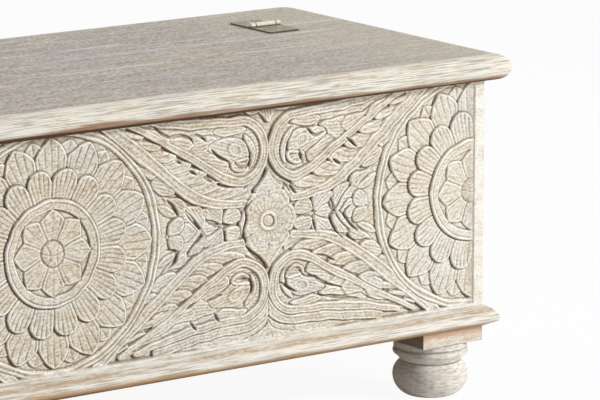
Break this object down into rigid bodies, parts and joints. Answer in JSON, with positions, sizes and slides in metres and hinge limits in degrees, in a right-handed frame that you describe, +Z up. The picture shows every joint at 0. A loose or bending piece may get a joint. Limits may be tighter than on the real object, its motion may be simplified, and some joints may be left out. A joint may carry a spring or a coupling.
{
  "type": "carved storage chest",
  "caption": "Low whitewashed wooden chest with a medallion-carved front, a back-hinged lid behind which a fixed strip runs, a moulded plinth and turned bun feet.",
  "frame": {"origin": "middle of the chest at floor level, under the feet", "axes": "+X along the length, to the right for someone who faces the carved front, +Y from the carved front to the back, +Z up"},
  "size_m": [1.162, 0.422, 0.3916],
  "materials": {
    "carved_wood": "hand carved, whitewashed and rubbed back",
    "panel_wood": "whitewashed, matt",
    "top_wood": "wire brushed and limed, matt",
    "moulding_wood": "whitewashed, rubbed through on the edges",
    "foot_wood": "turned and whitewashed",
    "inner_wood": "sawn and sanded, unfinished",
    "hinge_brass": "aged, with whitewash rubbed over it",
    "screw_steel": "zinc plated"
  },
  "bodies": {
    "box": {"front_panel": "carved_wood", "back_panel": "panel_wood", "left_end_panel": "panel_wood", "right_end_panel": "panel_wood", "corner_post_front_left": "inner_wood", "corner_post_front_right": "inner_wood", "corner_post_back_left": "inner_wood", "corner_post_back_right": "inner_wood", "bottom_screws": "screw_steel", "bottom_board_front": "inner_wood", "bottom_board_middle": "inner_wood", "bottom_board_back": "inner_wood", "bottom_cleat_front": "inner_wood", "bottom_cleat_back": "inner_wood", "bottom_cleat_left": "inner_wood", "bottom_cleat_right": "inner_wood", "corner_block_front_left": "inner_wood", "corner_block_front_right": "inner_wood", "corner_block_back_left": "inner_wood", "corner_block_back_right": "inner_wood", "foot_front_left": "foot_wood", "foot_front_right": "foot_wood", "foot_back_left": "foot_wood", "foot_back_right": "foot_wood", "foot_bolts": "screw_steel", "plinth_moulding_front": "moulding_wood", "plinth_moulding_back": "moulding_wood", "plinth_moulding_left": "moulding_wood", "plinth_moulding_right": "moulding_wood", "box_leaf_screws": "screw_steel", "hinge_left_box_leaf": "hinge_brass", "hinge_right_box_leaf": "hinge_brass", "hinge_pins": "hinge_brass", "back_top_board": "top_wood", "seam_rail": "inner_wood"},
    "lid": {"lid_front_board": "top_wood", "lid_rear_board": "top_wood", "lid_batten_left": "inner_wood", "lid_batten_middle": "inner_wood", "lid_batten_right": "inner_wood", "batten_screws": "screw_steel", "hinge_left_lid_leaf": "hinge_brass", "hinge_right_lid_leaf": "hinge_brass", "lid_leaf_screws": "screw_steel"}
  },
  "joints": [
    {"name": "lid_hinge", "type": "hinge", "parent": "box", "child": "lid", "pos_m": [0, 0.09, 0.3882], "axis": [-1, 0, 0], "range_deg": [0, 180]}
  ]
}
